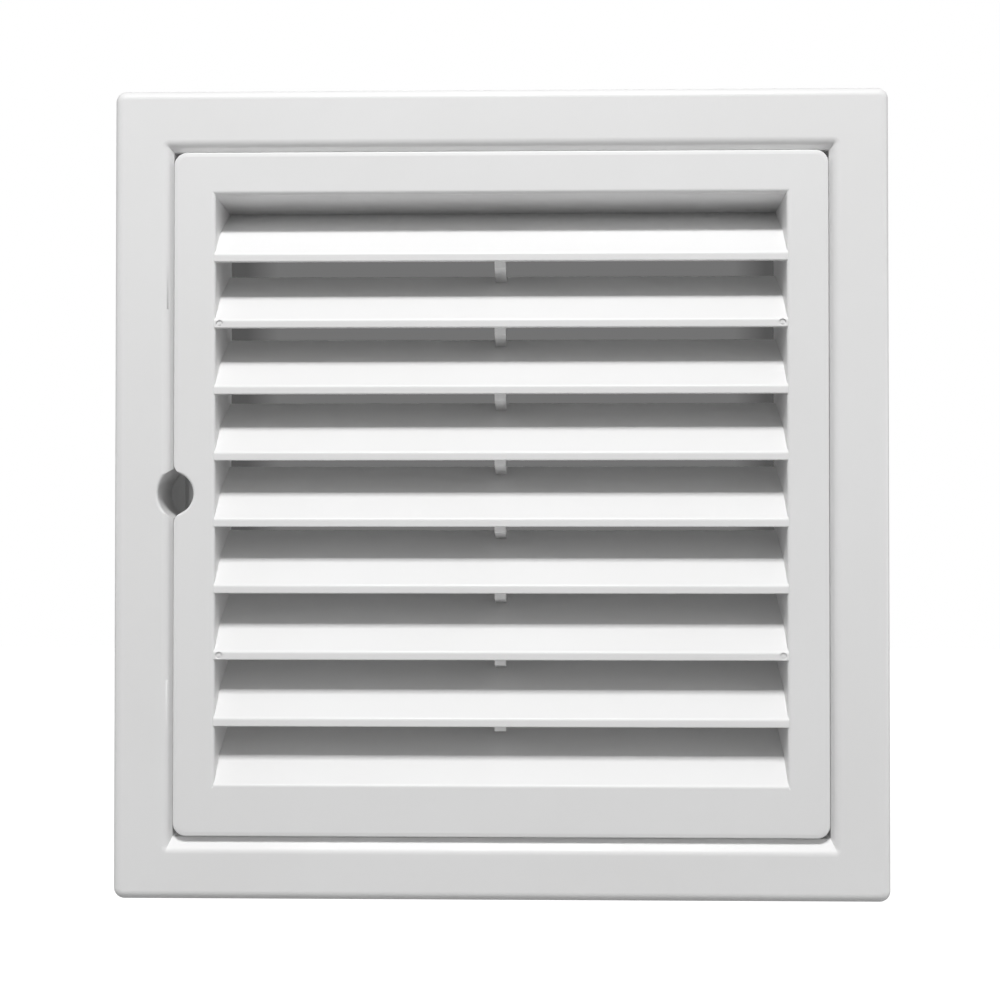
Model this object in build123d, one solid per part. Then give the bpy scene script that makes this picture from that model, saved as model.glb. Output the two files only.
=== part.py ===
from build123d import *
import math
import os

# Louvred air grille with a hinged door. Millimetres.
# The origin is the centre of the frame's wall face. X is to the right, Z is up,
# and the front of the grille looks along -Y.

# Frame: a hollow flange on the wall, and a neck that goes into the wall.
FRAME_WIDTH = 251.0
FRAME_HEIGHT = 262.6
FLANGE_DEPTH = 8.0
FLANGE_CORNER = 3.5
FLANGE_EDGE = 3.0
WALL = 2.2
NECK_REAR = 30.0
FRONT = -FLANGE_DEPTH

# Slanted lip around the opening: its rectangle at the front, and the depth it falls.
LIP_WIDTH = 216.4
LIP_HEIGHT = 228.8
LIP_RISE = -1.0
LIP_DEPTH = 2.8
LIP_EDGE = 3.0

# Opening that the door closes.
OPENING_WIDTH = 213.0
OPENING_HEIGHT = 222.8
OPENING_RISE = 0.05

# Ledge inside the neck, on three sides. It stops short of the hinge for the door's swing.
LEDGE_FRONT = 3.0
LEDGE_THICKNESS = 2.2
LEDGE_LEFT = -98.0
LEDGE_RIGHT_END = 85.0
LEDGE_TOP = 102.25
LEDGE_BOTTOM = -100.75

# Door leaf: a face plate with a skirt behind its edge.
DOOR_GAP = 0.6
DOOR_WIDTH = OPENING_WIDTH - 2 * DOOR_GAP
DOOR_HEIGHT = OPENING_HEIGHT - 2 * DOOR_GAP
DOOR_CORNER = 4.2
DOOR_BEVEL_WIDTH = 1.4
DOOR_BEVEL_DEPTH = 0.2
DOOR_EDGE = 0.5
DOOR_PLATE = 2.5
DOOR_WALL = 1.8
SKIRT_REAR = 1.0
DOOR_LEFT = -DOOR_WIDTH / 2
DOOR_RIGHT = DOOR_WIDTH / 2

# Louvre opening in the door, and the tunnel of walls behind it.
LOUVRE_HALF_WIDTH = 92.45
LOUVRE_TOP = 97.1
LOUVRE_ROUND = 1.2
LOUVRE_MOUTH = 0.2
TUNNEL_REAR = 19.8
TUNNEL_ROOF_FALL = 2.0

# Blades: depth behind the door's face and height above the lower edge of the blade's lip.
# The bite is how far each end runs into the side wall.
BLADE_COUNT = 9
BLADE_PITCH = 21.5
FIRST_LIP = 75.25
LIP_FACE = 2.6
LIP_FOOT = 1.6
LIP_ROUND_TOP = 1.5
LIP_ROUND_BOTTOM = 0.3
CREASE_ROUND = 3.0
CREASE_DEPTH = 8.5
CREASE_HEIGHT = 11.0
BLADE_DEPTH = 25.3
BLADE_HEIGHT = 20.3
BLADE_THICKNESS = 1.8
BLADE_BITE = 0.3
LAST_LIP = FIRST_LIP - (BLADE_COUNT - 1) * BLADE_PITCH
SILL_TOP = LAST_LIP + LIP_FACE

# Middle web from each blade down to the next: its width, the depth of its nose below the
# lip and how far that hangs down, and the depth where its foot starts.
WEB_WIDTH = 3.6
WEB_NOSE = 3.4
WEB_NOSE_DROP = 1.8
WEB_FOOT = 21.0

# Round dimples left by the moulding gates, on the lip ends of the second and seventh blades.
GATE_BLADES = (1, 6)
GATE_X = 91.0
GATE_RISE = 1.4
GATE_RADIUS = 1.2
GATE_DEPTH = 0.5
GATE_NUB_RADIUS = 0.45
GATE_NUB_HEIGHT = 0.35

# Finger notch through the door's left edge, and the pocket beside it in the frame.
NOTCH_X = -106.4
NOTCH_RADIUS = 6.9
NOTCH_BLEND = 4.5
NOTCH_EDGE = 0.8
POCKET_X = -101.9
POCKET_RADIUS = 9.2
POCKET_ROUND = 0.9
POCKET_FLOOR = 12.0
POCKET_WALL = 1.6
POCKET_COVER = 1.0
FINGER_ROOM = 10.0

# Hinge pins: upright, close behind the door's right edge.
HINGE_X = DOOR_RIGHT - 10.5
HINGE_Y = FRONT + 4.0
PIN_RADIUS = 1.0
PIN_RUNNING_GAP = 0.05
PIN_IN_DOOR = 5.5
PIN_HEAD_RADIUS = 1.9
PIN_HEAD_THICKNESS = 0.8
PIN_SEAT_PROUD = 0.2
HINGE_BOSS_HALF = 3.0
DOOR_BOSS_HEIGHT = 6.6
DOOR_BORE_DEPTH = 6.0

# Catch: a round magnet pressed into the ledge and a steel disc in the door.
CATCH_X = -101.9
CATCH_Z = OPENING_RISE - 30.0
MAGNET_RADIUS = 2.8
MAGNET_FRONT = 1.1
MAGNET_REAR = 7.0
MAGNET_CUP = 3.9
MAGNET_CUP_REAR = 8.2
MAGNET_CHAMFER = 0.3
STRIKE_RADIUS = 3.0
STRIKE_THICKNESS = 0.8
CATCH_BOSS_HALF = 4.6
CATCH_BOSS_INNER = -97.4

# Screw holes through the two sides of the neck.
SCREW_HOLE_RADIUS = 2.25
SCREW_HOLE_Y = 17.0
SCREW_HOLE_SPACING = 120.0

# How far one piece of a moulding runs into the next where they join, and how far a
# cutting block stands out past the face that it cuts.
FUSE = 0.5
PAST = 1.0


def block(x0, x1, y0, y1, z0, z1):
    """Box between two corners."""
    middle = Pos((x0 + x1) / 2, (y0 + y1) / 2, (z0 + z1) / 2)
    return middle * Box(x1 - x0, y1 - y0, z1 - z0)


def centred_block(width, height, rise, y0, y1):
    """Box of this width and height about X = 0 and Z = rise, from y0 back to y1."""
    return block(-width / 2, width / 2, y0, y1, rise - height / 2, rise + height / 2)


def rectangle_at(width, height, rise, y):
    """Upright rectangle that faces along Y."""
    plane = Plane(origin=(0, y, rise), x_dir=(1, 0, 0), z_dir=(0, 1, 0))
    return plane * Rectangle(width, height)


def rod_y(x, z, radius, y0, y1):
    """Round bar along Y."""
    return Pos(x, (y0 + y1) / 2, z) * Rot(90, 0, 0) * Cylinder(radius, y1 - y0)


def rod_z(x, y, radius, z0, z1):
    """Round bar along Z."""
    return Pos(x, y, (z0 + z1) / 2) * Cylinder(radius, z1 - z0)


def rounded_at(width, height, corner, y):
    """Upright rectangle at the door's height that faces along Y, with round corners."""
    plane = Plane(origin=(0, y, OPENING_RISE), x_dir=(1, 0, 0), z_dir=(0, 1, 0))
    return plane * RectangleRounded(width, height, corner)


def edges_at_y(shape, y):
    """Edges that lie wholly in the plane at this Y."""
    return shape.edges().filter_by_position(Axis.Y, y - 0.001, y + 0.001)


def slanted_lip(grow, y_front, y_rear):
    """Tapered block that follows the slanted lip, from its front rectangle to the opening."""
    def at(y):
        share = (y - FRONT) / LIP_DEPTH
        width = LIP_WIDTH + share * (OPENING_WIDTH - LIP_WIDTH)
        height = LIP_HEIGHT + share * (OPENING_HEIGHT - LIP_HEIGHT)
        rise = LIP_RISE + share * (OPENING_RISE - LIP_RISE)
        return width, height, rise
    front_width, front_height, front_rise = at(y_front)
    rear_width, rear_height, rear_rise = at(y_rear)
    front = rectangle_at(front_width + 2 * grow, front_height + 2 * grow, front_rise, y_front + grow)
    rear = rectangle_at(rear_width + 2 * grow, rear_height + 2 * grow, rear_rise, y_rear + grow)
    return loft([front, rear])


def mouth_cutter(way, depth, radius):
    """Cutting block for a way in through a front face, as deep as this, with its front edge rounded."""
    rim = centred_block(FRAME_WIDTH, FRAME_HEIGHT, 0, FRONT, FRONT + depth) - way
    inner_edges = edges_at_y(rim, FRONT).filter_by(lambda edge: edge.length < LIP_HEIGHT + 1)
    rim = fillet(inner_edges, radius)
    return centred_block(FRAME_WIDTH - 1, FRAME_HEIGHT - 1, 0, FRONT, FRONT + depth) - rim


def finger_bore(x, radius, rounding, rear):
    """Round bore along Y at the door's left edge, with its front edge rounded."""
    mouth = radius + rounding
    middle = rounding * (1 - math.sqrt(0.5))
    curve = ThreePointArc((mouth, FRONT), (radius + middle, FRONT + middle), (radius, FRONT + rounding))
    rest = Polyline(
        (radius, FRONT + rounding), (radius, rear), (0, rear),
        (0, FRONT - PAST), (mouth, FRONT - PAST), (mouth, FRONT),
    )
    profile = make_face((curve + rest).edges())
    return Pos(x, 0, OPENING_RISE) * revolve(profile, Axis.Y)


def pin_seat(side):
    """Height of the frame's boss face under a pin's head. Side is 1 at the top, -1 at the bottom."""
    return LIP_RISE + side * (LIP_HEIGHT / 2 + WALL + PIN_SEAT_PROUD)


def span(one, other, grow=0.0):
    """The two heights in rising order, each moved out by grow."""
    return min(one, other) - grow, max(one, other) + grow


def make_flange():
    flange = centred_block(FRAME_WIDTH, FRAME_HEIGHT, 0, FRONT, 0)
    flange = fillet(flange.edges().filter_by(Axis.Y), FLANGE_CORNER)
    flange = fillet(edges_at_y(flange, FRONT), FLANGE_EDGE)
    hollow = centred_block(FRAME_WIDTH - 2 * WALL, FRAME_HEIGHT - 2 * WALL, 0, FRONT + WALL, PAST)
    return flange - hollow


def make_ledge_opening():
    """What is cut out of the ledge: the tunnel's way, the hinge side, and room for a finger."""
    rear = LEDGE_FRONT + LEDGE_THICKNESS
    middle = block(LEDGE_LEFT, OPENING_WIDTH / 2, LEDGE_FRONT, rear, LEDGE_BOTTOM, LEDGE_TOP)
    hinge_side = centred_block(OPENING_WIDTH, OPENING_HEIGHT, OPENING_RISE, LEDGE_FRONT, rear)
    hinge_side &= block(LEDGE_RIGHT_END, FRAME_WIDTH, LEDGE_FRONT, rear, -FRAME_HEIGHT, FRAME_HEIGHT)
    finger = block(
        -OPENING_WIDTH / 2, 0, LEDGE_FRONT, rear, OPENING_RISE - FINGER_ROOM, OPENING_RISE + FINGER_ROOM
    )
    return middle + hinge_side + finger


def make_frame():
    lip_rear = FRONT + LIP_DEPTH
    outer_width = OPENING_WIDTH + 2 * WALL
    outer_height = OPENING_HEIGHT + 2 * WALL
    frame = make_flange()
    frame += slanted_lip(WALL, FRONT, lip_rear) & centred_block(
        FRAME_WIDTH - WALL, FRAME_HEIGHT - WALL, 0, FRONT, 0
    )
    frame += centred_block(outer_width, outer_height, OPENING_RISE, FRONT + WALL, NECK_REAR)
    # Boss for each hinge pin, on the outside of the neck and inside the flange.
    for side in (1, -1):
        wall_middle = OPENING_RISE + side * (OPENING_HEIGHT + WALL) / 2
        frame += block(
            HINGE_X - HINGE_BOSS_HALF, HINGE_X + HINGE_BOSS_HALF,
            FRONT + WALL - FUSE, -FUSE, *span(wall_middle, pin_seat(side)),
        )
    # Wall and floor of the finger pocket, on the outside of the neck.
    pocket = rod_y(
        POCKET_X, OPENING_RISE, POCKET_RADIUS + POCKET_WALL, FRONT + POCKET_COVER, POCKET_FLOOR + POCKET_WALL
    )
    frame += pocket - block(
        -OPENING_WIDTH / 2 - POCKET_COVER, 0, FRONT, NECK_REAR, -FRAME_HEIGHT / 2, FRAME_HEIGHT / 2
    )
    # The way through: lip, opening, ledge and neck.
    frame -= mouth_cutter(slanted_lip(0, FRONT - PAST, lip_rear), LIP_DEPTH, LIP_EDGE)
    frame -= centred_block(OPENING_WIDTH, OPENING_HEIGHT, OPENING_RISE, lip_rear - 0.01, LEDGE_FRONT)
    frame -= make_ledge_opening()
    frame -= centred_block(
        OPENING_WIDTH, OPENING_HEIGHT, OPENING_RISE, LEDGE_FRONT + LEDGE_THICKNESS, NECK_REAR + PAST
    )

    frame -= finger_bore(POCKET_X, POCKET_RADIUS, POCKET_ROUND, POCKET_FLOOR)

    # Magnet cup behind the ledge, then its blind hole.
    frame += rod_y(CATCH_X, CATCH_Z, MAGNET_CUP, LEDGE_FRONT + FUSE, MAGNET_CUP_REAR)
    frame -= rod_y(CATCH_X, CATCH_Z, MAGNET_RADIUS, LEDGE_FRONT - PAST, MAGNET_REAR)

    for side in (1, -1):
        opening_edge = OPENING_RISE + side * OPENING_HEIGHT / 2
        frame -= rod_z(HINGE_X, HINGE_Y, PIN_RADIUS, *span(opening_edge, pin_seat(side), FUSE))
        for row in (1, -1):
            x = side * (OPENING_WIDTH + WALL) / 2
            hole = Rot(0, 90, 0) * Cylinder(SCREW_HOLE_RADIUS, 3 * WALL)
            frame -= Pos(x, SCREW_HOLE_Y, row * SCREW_HOLE_SPACING / 2) * hole
    return frame


def blade_outline():
    """Section of one blade as (depth, height) from the lower edge of its lip."""
    slant = math.atan2(BLADE_HEIGHT - LIP_FACE, BLADE_DEPTH)
    back = BLADE_THICKNESS * math.sin(slant)
    down = BLADE_THICKNESS * math.cos(slant)
    return [
        (0, 0),
        (0, LIP_FACE),
        (CREASE_DEPTH, CREASE_HEIGHT),
        (BLADE_DEPTH, BLADE_HEIGHT),
        (BLADE_DEPTH + back, BLADE_HEIGHT - down),
        (CREASE_DEPTH + back, CREASE_HEIGHT - down),
        (LIP_FOOT, 0),
    ]


def make_blade(lip):
    half = LOUVRE_HALF_WIDTH + BLADE_BITE
    points = [(-half, FRONT + depth, lip + height) for depth, height in blade_outline()]
    section = make_face(Polyline(*points, close=True))
    for height, radius in ((LIP_FACE, LIP_ROUND_TOP), (0, LIP_ROUND_BOTTOM)):
        corner = section.vertices().filter_by_position(Axis.Y, FRONT - FUSE, FRONT + FUSE).filter_by_position(
            Axis.Z, lip + height - 0.01, lip + height + 0.01
        )
        section = fillet(corner, radius)
    crease = section.vertices().filter_by_position(
        Axis.Y, FRONT + CREASE_DEPTH - FUSE, FRONT + CREASE_DEPTH + BLADE_THICKNESS
    )
    section = fillet(crease, CREASE_ROUND)
    return extrude(section, amount=2 * half, dir=(1, 0, 0))


def notch_tool():
    """The round notch with its blends into the door's left edge, as one cutting block."""
    left_of_door = Pos(DOOR_LEFT - NOTCH_RADIUS, 0) * Rectangle(2 * NOTCH_RADIUS, 6 * NOTCH_RADIUS)
    outline = left_of_door + Pos(NOTCH_X, 0) * Circle(NOTCH_RADIUS)
    corners = outline.vertices().filter_by(
        lambda corner: abs(corner.X - DOOR_LEFT) < 0.01 and abs(corner.Y) < 2 * NOTCH_RADIUS
    )
    outline = fillet(corners, NOTCH_BLEND)
    outline &= Pos(DOOR_LEFT, 0) * Rectangle(4 * NOTCH_RADIUS, 4 * NOTCH_RADIUS)
    plane = Plane(origin=(0, FRONT - PAST, OPENING_RISE), x_dir=(1, 0, 0), z_dir=(0, 1, 0))
    return extrude(plane * outline, amount=SKIRT_REAR - FRONT + 2 * PAST)


def make_door_shell():
    """Face plate and skirt, before the louvre opening."""
    bevel_rear = FRONT + DOOR_BEVEL_DEPTH
    width = DOOR_WIDTH - 2 * DOOR_BEVEL_WIDTH
    height = DOOR_HEIGHT - 2 * DOOR_BEVEL_WIDTH
    front = rounded_at(width, height, DOOR_CORNER - DOOR_BEVEL_WIDTH, FRONT)
    outline = rounded_at(DOOR_WIDTH, DOOR_HEIGHT, DOOR_CORNER, bevel_rear)
    shell = loft([front, outline]) + extrude(outline, amount=SKIRT_REAR - bevel_rear)
    shell = fillet(edges_at_y(shell, bevel_rear), DOOR_EDGE)
    inner_width = DOOR_WIDTH - 2 * DOOR_WALL
    inner_height = DOOR_HEIGHT - 2 * DOOR_WALL
    hollow = centred_block(
        inner_width, inner_height, OPENING_RISE, FRONT + DOOR_PLATE, SKIRT_REAR + PAST
    )
    hollow = fillet(hollow.edges().filter_by(Axis.Y), DOOR_CORNER - DOOR_WALL)
    shell -= hollow
    shell -= notch_tool()
    return shell - finger_bore(NOTCH_X, NOTCH_RADIUS, NOTCH_EDGE, SKIRT_REAR + PAST)


def tunnel_space():
    """The clear space inside the tunnel. Its roof falls towards the back."""
    sill = LAST_LIP + LIP_FACE / 2
    rear = TUNNEL_REAR + PAST
    fall = TUNNEL_ROOF_FALL * (rear - FRONT) / (TUNNEL_REAR - FRONT)
    points = [
        (FRONT - PAST, sill),
        (FRONT - PAST, LOUVRE_TOP),
        (FRONT, LOUVRE_TOP),
        (rear, LOUVRE_TOP - fall),
        (rear, sill),
    ]
    section = make_face(Polyline(*[(-LOUVRE_HALF_WIDTH, y, z) for y, z in points], close=True))
    return extrude(section, amount=2 * LOUVRE_HALF_WIDTH, dir=(1, 0, 0))


def make_web(lip):
    """Middle web from the blade with this lip down to the next blade."""
    corners = blade_outline()
    crease = [(one + other) / 2 for one, other in zip(corners[2], corners[5])]
    tail = [(one + other) / 2 for one, other in zip(corners[3], corners[4])]
    slope = (BLADE_HEIGHT - CREASE_HEIGHT) / (BLADE_DEPTH - CREASE_DEPTH)
    foot = CREASE_HEIGHT + (WEB_FOOT - CREASE_DEPTH) * slope - BLADE_PITCH - FUSE
    outline = [
        (LIP_FOOT, FUSE), crease, tail, (tail[0], tail[1] - BLADE_PITCH),
        (WEB_FOOT, foot), (WEB_NOSE, -WEB_NOSE_DROP),
    ]
    points = [(-WEB_WIDTH / 2, FRONT + depth, lip + height) for depth, height in outline]
    return extrude(make_face(Polyline(*points, close=True)), amount=WEB_WIDTH, dir=(1, 0, 0))


def louvre_mouth():
    """Front of the louvre opening, with its rounded edge."""
    way = block(-LOUVRE_HALF_WIDTH, LOUVRE_HALF_WIDTH, FRONT - PAST, TUNNEL_REAR, SILL_TOP, LOUVRE_TOP)
    return mouth_cutter(way, LOUVRE_ROUND + LOUVRE_MOUTH, LOUVRE_ROUND)


def make_louvre_door():
    outer = LOUVRE_HALF_WIDTH + DOOR_WALL
    door = make_door_shell()
    door += block(-outer, outer, FRONT + FUSE, TUNNEL_REAR, LAST_LIP - DOOR_WALL, LOUVRE_TOP + DOOR_WALL)

    # Bosses for the hinge pins and for the strike plate.
    for side in (1, -1):
        skirt_middle = OPENING_RISE + side * (DOOR_HEIGHT - DOOR_WALL) / 2
        boss_end = OPENING_RISE + side * (DOOR_HEIGHT / 2 - DOOR_BOSS_HEIGHT)
        door += block(
            HINGE_X - HINGE_BOSS_HALF, HINGE_X + HINGE_BOSS_HALF,
            FRONT + DOOR_PLATE - FUSE, HINGE_Y + HINGE_BOSS_HALF, *span(skirt_middle, boss_end),
        )
    door += block(
        DOOR_LEFT + DOOR_WALL - FUSE, CATCH_BOSS_INNER, FRONT + DOOR_PLATE - FUSE, SKIRT_REAR,
        CATCH_Z - CATCH_BOSS_HALF, CATCH_Z + CATCH_BOSS_HALF,
    )

    door -= tunnel_space()
    door -= louvre_mouth()
    for index in range(BLADE_COUNT):
        door += make_blade(FIRST_LIP - index * BLADE_PITCH)
    for index in range(BLADE_COUNT - 1):
        door += make_web(FIRST_LIP - index * BLADE_PITCH)

    for side in (1, -1):
        door_edge = OPENING_RISE + side * DOOR_HEIGHT / 2
        bore = span(door_edge + side * PAST, door_edge - side * DOOR_BORE_DEPTH)
        door -= rod_z(HINGE_X, HINGE_Y, PIN_RADIUS + PIN_RUNNING_GAP, *bore)
    door -= rod_y(CATCH_X, CATCH_Z, STRIKE_RADIUS, SKIRT_REAR - STRIKE_THICKNESS, SKIRT_REAR + PAST)
    for index in GATE_BLADES:
        z = FIRST_LIP - index * BLADE_PITCH + GATE_RISE
        for x in (-GATE_X, GATE_X):
            door -= rod_y(x, z, GATE_RADIUS, FRONT - PAST, FRONT + GATE_DEPTH)
            door += rod_y(x, z, GATE_NUB_RADIUS, FRONT + GATE_DEPTH - GATE_NUB_HEIGHT, FRONT + PAST)
    return door


def make_hinge_pin(side):
    """Headed pin. Side is 1 for the upper pin and -1 for the lower one."""
    tip = OPENING_RISE + side * (DOOR_HEIGHT / 2 - PIN_IN_DOOR)
    seat = pin_seat(side)
    shank = rod_z(HINGE_X, HINGE_Y, PIN_RADIUS, *span(tip, seat))
    head = rod_z(HINGE_X, HINGE_Y, PIN_HEAD_RADIUS, *span(seat, seat + side * PIN_HEAD_THICKNESS))
    return shank + head


def make_catch_magnet():
    magnet = rod_y(CATCH_X, CATCH_Z, MAGNET_RADIUS, MAGNET_FRONT, MAGNET_REAR)
    return chamfer(edges_at_y(magnet, MAGNET_FRONT), MAGNET_CHAMFER)


def make_strike_plate():
    return rod_y(CATCH_X, CATCH_Z, STRIKE_RADIUS, SKIRT_REAR - STRIKE_THICKNESS, SKIRT_REAR)


parts = {
    "frame": make_frame(),
    "louvre_door": make_louvre_door(),
    "hinge_pin_upper": make_hinge_pin(1),
    "hinge_pin_lower": make_hinge_pin(-1),
    "catch_magnet": make_catch_magnet(),
    "strike_plate": make_strike_plate(),
}

os.makedirs("parts", exist_ok=True)
for name, shape in parts.items():
    export_step(shape, f"parts/{name}.step")
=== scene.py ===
import math

import bpy
from mathutils import Euler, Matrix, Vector


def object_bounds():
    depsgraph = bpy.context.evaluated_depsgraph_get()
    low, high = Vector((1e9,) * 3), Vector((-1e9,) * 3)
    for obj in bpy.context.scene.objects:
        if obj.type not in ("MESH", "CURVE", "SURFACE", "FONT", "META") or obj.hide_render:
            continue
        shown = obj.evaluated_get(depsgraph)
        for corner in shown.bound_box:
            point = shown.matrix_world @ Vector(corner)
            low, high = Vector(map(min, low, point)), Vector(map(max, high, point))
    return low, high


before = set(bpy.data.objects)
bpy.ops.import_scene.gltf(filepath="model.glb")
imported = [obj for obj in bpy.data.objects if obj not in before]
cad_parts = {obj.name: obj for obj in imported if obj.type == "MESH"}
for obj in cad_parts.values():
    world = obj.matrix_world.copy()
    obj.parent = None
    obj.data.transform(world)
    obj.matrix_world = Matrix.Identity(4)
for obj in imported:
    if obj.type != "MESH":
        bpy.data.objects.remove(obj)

# Louvred air grille with a hinged door. Metres. The front looks along -Y and Z is up.
cad_low, cad_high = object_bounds()
centre = (Vector(cad_low) + Vector(cad_high)) / 2
front = cad_low[1]

# Camera: it stands in front of the face, a little to the right and low, and looks back at its middle.
CAMERA_DISTANCE = 0.500
CAMERA_LENS = 55.8
SENSOR = 36.0
CAMERA_YAW = math.radians(1.21)
CAMERA_PITCH = math.radians(0.76)
AIM_DROP = 0.0021

# Floor: how far below the grille it lies, its size and tone, and the lift that makes it white.
FLOOR_DROP = 0.25
FLOOR_SIZE = 8.0
FLOOR_TONE = 0.45
FLOOR_LIFT = 0.95

# Softboxes. The elevation is above the level and the turn is to the right.
KEY_ELEVATION = math.radians(53.5)
KEY_TURN = math.radians(-1)
KEY_DISTANCE = 1.68
KEY_SIZE = 0.34
KEY_POWER = 22.2
SIDE_TURN = math.radians(96)
SIDE_DISTANCE = 1.0
SIDE_SIZE = 0.3
LEFT_POWER = 1.0
RIGHT_POWER = 1.5

# Fill light from all round: its strength in front and behind, and what it is multiplied by
# towards the left, the right, below and above.
FRONT_FILL = 0.40
REAR_FILL = 0.06
LEFT_GAIN = 1.45
RIGHT_GAIN = 2.4
BELOW_GAIN = 0.82
ABOVE_GAIN = 0.65

# Painted shade on the backdrop behind the louvre gaps: its grey in the middle and its darker painted shade at
# the sides, where its soft edges begin and end as a slope from the origin, and where its middle does.
SHADE_PATCH_GREY = 0.17
SHADE_PATCH_SIDE_DARK = 0.09
SHADE_PATCH_LEFT = (-0.265, -0.245)
SHADE_PATCH_RIGHT = (0.175, 0.195)
SHADE_PATCH_BOTTOM = (-0.05, -0.03)
SHADE_PATCH_TOP = (0.18, 0.20)
MIDDLE_LEFT = (-0.185, -0.165)
MIDDLE_RIGHT = (0.13, 0.15)

# Tones of the plastic and the steel.
ABS_TONE = 0.83
PIN_TONE = 0.56
STRIKE_TONE = 0.5


class Nodes:
    """A node tree that is filled one node at a time."""

    def __init__(self, tree):
        self.tree = tree
        tree.nodes.clear()

    def add(self, kind, inputs=None, **settings):
        node = self.tree.nodes.new(kind)
        for key, value in settings.items():
            setattr(node, key, value)
        for key, value in (inputs or {}).items():
            if isinstance(value, bpy.types.NodeSocket):
                self.tree.links.new(value, node.inputs[key])
            else:
                node.inputs[key].default_value = value
        return node

    def math(self, operation, *values):
        node = self.add("ShaderNodeMath", dict(enumerate(values)), operation=operation)
        return node.outputs[0]

    def noise(self, vector, scale, detail=3.0, roughness=0.5):
        inputs = {"Vector": vector, "Scale": scale, "Detail": detail, "Roughness": roughness}
        return self.add("ShaderNodeTexNoise", inputs).outputs["Fac"]

    def spread(self, value, low, high, bottom, top):
        """Maps low..high to bottom..top, without going past either."""
        inputs = {"Value": value, "From Min": low, "From Max": high, "To Min": bottom, "To Max": top}
        return self.add("ShaderNodeMapRange", inputs, clamp=True).outputs["Result"]

    def band(self, value, lower_edge, upper_edge):
        """1 between two soft edges, and 0 outside them."""
        rising = self.spread(value, *lower_edge, 0, 1)
        return self.math("MULTIPLY", rising, self.spread(value, *upper_edge, 1, 0))

    def blend(self, share, first, second):
        """Colour between two colours."""
        node = self.add("ShaderNodeMix", data_type="RGBA")
        for name, value in (("Factor", share), ("A", first), ("B", second)):
            socket = node.inputs[name]
            if isinstance(value, bpy.types.NodeSocket):
                self.tree.links.new(value, socket)
            else:
                socket.default_value = value
        return node.outputs["Result"]


def grey(value, tint=0.0):
    """Grey colour. A tint above 0 is warmer."""
    return (value * (1 + tint), value, value * (1 - tint), 1.0)


def new_material(name):
    material = bpy.data.materials.new(name)
    material.use_nodes = True
    nodes = Nodes(material.node_tree)
    place = nodes.add("ShaderNodeTexCoord").outputs["Object"]
    return material, nodes, place


def finish_material(nodes, **inputs):
    named = {key.replace("_", " "): value for key, value in inputs.items()}
    shader = nodes.add("ShaderNodeBsdfPrincipled", named)
    nodes.add("ShaderNodeOutputMaterial", {"Surface": shader.outputs[0]})


def moulded_plastic(name, value, seed):
    """White ABS with a fine spark-eroded grain, and slow changes of tone and gloss over the moulding."""
    material, nodes, place = new_material(name)
    moved = nodes.add("ShaderNodeMapping", {"Vector": place, "Location": (seed, 0, 0)}).outputs[0]
    flow = nodes.noise(moved, 14.0, 2.0)
    tone = nodes.blend(nodes.spread(flow, 0.3, 0.7, 0.0, 1.0), grey(value * 0.985, 0.002), grey(value * 1.01))
    grain = nodes.noise(moved, 2600.0, 2.0)
    gloss = nodes.spread(nodes.noise(moved, 45.0, 4.0), 0.3, 0.7, 0.40, 0.48)
    bump = nodes.add("ShaderNodeBump", {"Height": grain, "Strength": 0.08, "Distance": 0.0001})
    finish_material(nodes, Base_Color=tone, Roughness=gloss, IOR=1.5, Normal=bump.outputs[0])
    return material


def drawn_steel(name, value, stretch, roughness):
    """Bright steel with fine marks drawn out along one direction."""
    material, nodes, place = new_material(name)
    drawn = nodes.add("ShaderNodeMapping", {"Vector": place, "Scale": stretch}).outputs[0]
    marks = nodes.noise(drawn, 9000.0, 3.0)
    tone = nodes.blend(nodes.spread(marks, 0.3, 0.7, 0.0, 1.0), grey(value * 0.86), grey(value * 1.06, 0.01))
    gloss = nodes.spread(marks, 0.3, 0.7, roughness - 0.06, roughness + 0.08)
    bump = nodes.add("ShaderNodeBump", {"Height": marks, "Strength": 0.25, "Distance": 0.00005})
    finish_material(nodes, Base_Color=tone, Metallic=1.0, Roughness=gloss, Normal=bump.outputs[0])
    return material


def nickel_plating(name):
    """Nickel over a sintered magnet: warm grey, smooth, with a faint waviness."""
    material, nodes, place = new_material(name)
    wave = nodes.noise(place, 700.0, 2.0)
    tone = nodes.blend(nodes.spread(wave, 0.3, 0.7, 0.0, 1.0), grey(0.58, 0.03), grey(0.66, 0.02))
    gloss = nodes.spread(nodes.noise(place, 2500.0), 0.3, 0.7, 0.14, 0.26)
    bump = nodes.add("ShaderNodeBump", {"Height": wave, "Strength": 0.1, "Distance": 0.0001})
    finish_material(nodes, Base_Color=tone, Metallic=1.0, Roughness=gloss, Normal=bump.outputs[0])
    return material


def dress(node, material):
    """Gives a CAD node its material."""
    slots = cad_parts[node].material_slots
    for slot in slots:
        slot.material = material
    if not slots:
        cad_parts[node].data.materials.append(material)


def make_floor():
    """Plain pale floor. It is lifted to white where nothing shades it."""
    bpy.ops.mesh.primitive_plane_add(size=FLOOR_SIZE, location=(0, 0, cad_low[2] - FLOOR_DROP))
    floor = bpy.context.object
    floor.name = "floor"
    material = bpy.data.materials.new("floor_white")
    material.use_nodes = True
    nodes = Nodes(material.node_tree)
    diffuse = nodes.add("ShaderNodeBsdfDiffuse", {"Color": grey(FLOOR_TONE)})
    seen = nodes.add("ShaderNodeLightPath").outputs["Is Camera Ray"]
    strength = nodes.math("MULTIPLY", seen, FLOOR_LIFT)
    lift = nodes.add("ShaderNodeEmission", {"Color": grey(1.0), "Strength": strength})
    both = nodes.add("ShaderNodeAddShader", {0: diffuse.outputs[0], 1: lift.outputs[0]})
    nodes.add("ShaderNodeOutputMaterial", {"Surface": both.outputs[0]})
    floor.data.materials.append(material)


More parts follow.
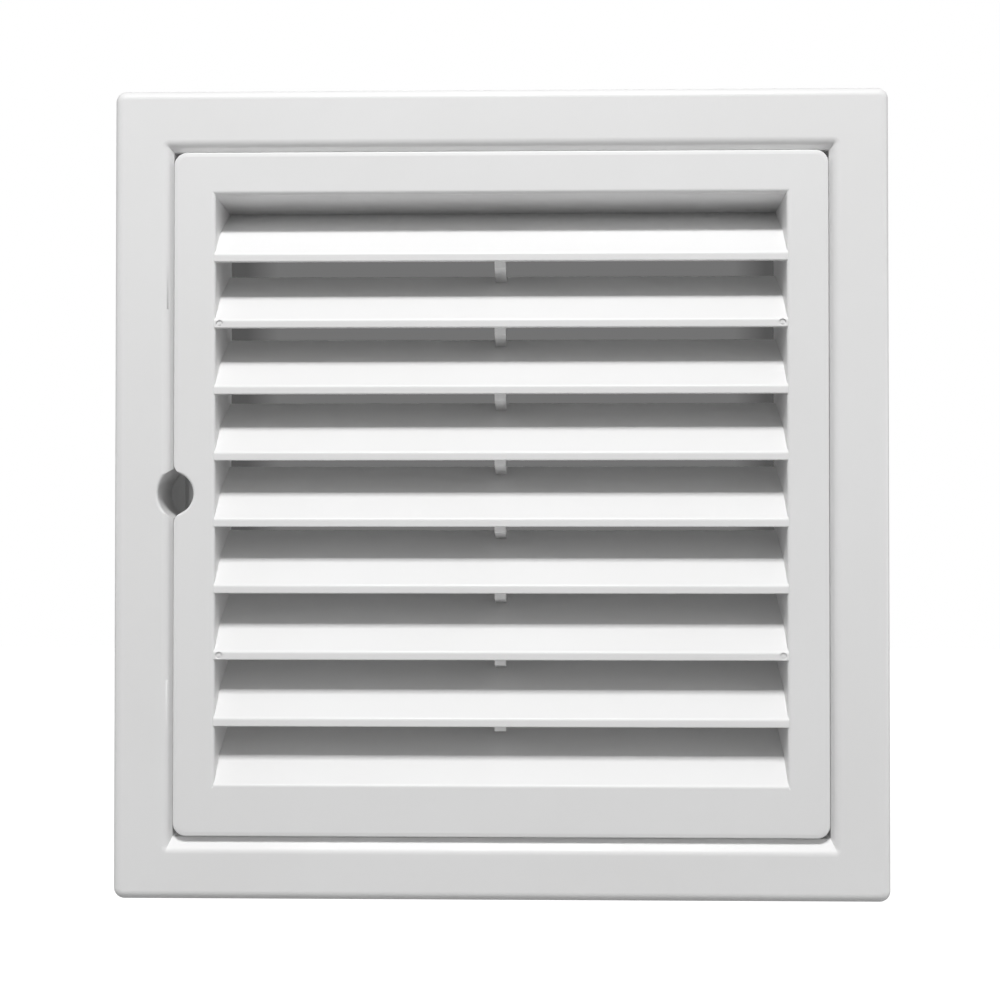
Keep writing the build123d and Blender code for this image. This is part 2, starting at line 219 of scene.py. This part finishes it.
def make_softbox(name, elevation, turn, distance, size, power):
    """Square softbox that faces the grille. It isn't seen itself."""
    light = bpy.data.lights.new(name, "AREA")
    light.shape = "SQUARE"
    light.size = size
    light.energy = power
    softbox = bpy.data.objects.new(name, light)
    bpy.context.collection.objects.link(softbox)
    level = math.cos(elevation)
    reach = Vector((level * math.sin(turn), -level * math.cos(turn), math.sin(elevation)))
    softbox.location = Vector((centre.x, front, centre.z)) + reach * distance
    softbox.rotation_euler = (-reach).to_track_quat("-Z", "Y").to_euler()
    softbox.visible_camera = False


def make_world():
    """Soft light from the front and sides, and a white backdrop with a patch of painted shade.

    The painted shade, grey in the middle and darker at its sides, lies far behind the grille and only camera
    rays see it. From the front only the louvre gaps and the finger notch look onto it.
    """
    world = bpy.data.worlds.new("studio")
    bpy.context.scene.world = world
    world.use_nodes = True
    nodes = Nodes(world.node_tree)
    towards = nodes.add("ShaderNodeTexCoord").outputs["Generated"]
    parts = nodes.add("ShaderNodeSeparateXYZ", {0: towards}).outputs
    fill = nodes.spread(parts["Y"], -0.25, 0.25, FRONT_FILL, REAR_FILL)
    for axis, near, far, gain in (
        ("X", -0.4, -0.9, LEFT_GAIN),
        ("X", 0.4, 0.9, RIGHT_GAIN),
        ("Z", 0.2, -0.6, BELOW_GAIN),
        ("Z", 0.3, 0.8, ABOVE_GAIN),
    ):
        fill = nodes.math("MULTIPLY", fill, nodes.spread(parts[axis], near, far, 1.0, gain))

    # Painted shade: a grey patch on the backdrop, darker at its sides, that only camera rays see.
    depth = nodes.math("MAXIMUM", parts["Y"], 0.001)
    side = nodes.math("DIVIDE", parts["X"], depth)
    rise = nodes.math("DIVIDE", parts["Z"], depth)
    across = nodes.band(side, SHADE_PATCH_LEFT, SHADE_PATCH_RIGHT)
    upright = nodes.band(rise, SHADE_PATCH_BOTTOM, SHADE_PATCH_TOP)
    middle = nodes.band(side, MIDDLE_LEFT, MIDDLE_RIGHT)
    shade_patch_tone = nodes.spread(middle, 0, 1, 1 - SHADE_PATCH_SIDE_DARK, 1 - SHADE_PATCH_GREY)
    shade = nodes.math("MULTIPLY", nodes.math("MULTIPLY", across, upright), shade_patch_tone)
    backdrop = nodes.math("SUBTRACT", 1.0, shade)

    light = nodes.add("ShaderNodeBackground", {"Color": grey(1.0), "Strength": fill})
    view = nodes.add("ShaderNodeBackground", {"Color": grey(1.0), "Strength": backdrop})
    seen = nodes.add("ShaderNodeLightPath").outputs["Is Camera Ray"]
    mix = nodes.add("ShaderNodeMixShader", {0: seen, 1: light.outputs[0], 2: view.outputs[0]})
    nodes.add("ShaderNodeOutputWorld", {"Surface": mix.outputs[0]})


def make_camera():
    camera = bpy.data.cameras.new("camera")
    camera.sensor_width = SENSOR
    camera.lens = CAMERA_LENS
    camera_object = bpy.data.objects.new("camera", camera)
    bpy.context.collection.objects.link(camera_object)
    turn = Euler((math.pi / 2 + CAMERA_PITCH, 0, CAMERA_YAW))
    look = turn.to_matrix() @ Vector((0, 0, -1))
    aim = Vector((centre.x, front, centre.z - AIM_DROP))
    camera_object.location = aim - look * CAMERA_DISTANCE
    camera_object.rotation_euler = turn
    bpy.context.scene.camera = camera_object


make_camera()
make_world()
make_floor()
make_softbox("key", KEY_ELEVATION, KEY_TURN, KEY_DISTANCE, KEY_SIZE, KEY_POWER)
make_softbox("left", 0.0, -SIDE_TURN, SIDE_DISTANCE, SIDE_SIZE, LEFT_POWER)
make_softbox("right", 0.0, SIDE_TURN, SIDE_DISTANCE, SIDE_SIZE, RIGHT_POWER)

dress("frame", moulded_plastic("frame_abs", ABS_TONE, 0.0))
dress("louvre_door", moulded_plastic("door_abs", ABS_TONE, 3.0))
steel = drawn_steel("pin_wire", PIN_TONE, (1.0, 1.0, 0.04), 0.3)
dress("hinge_pin_upper", steel)
dress("hinge_pin_lower", steel)
dress("catch_magnet", nickel_plating("magnet_nickel"))
dress("strike_plate", drawn_steel("strike_zinc", STRIKE_TONE, (0.05, 1.0, 1.0), 0.36))

bpy.context.scene.view_settings.view_transform = "Standard"
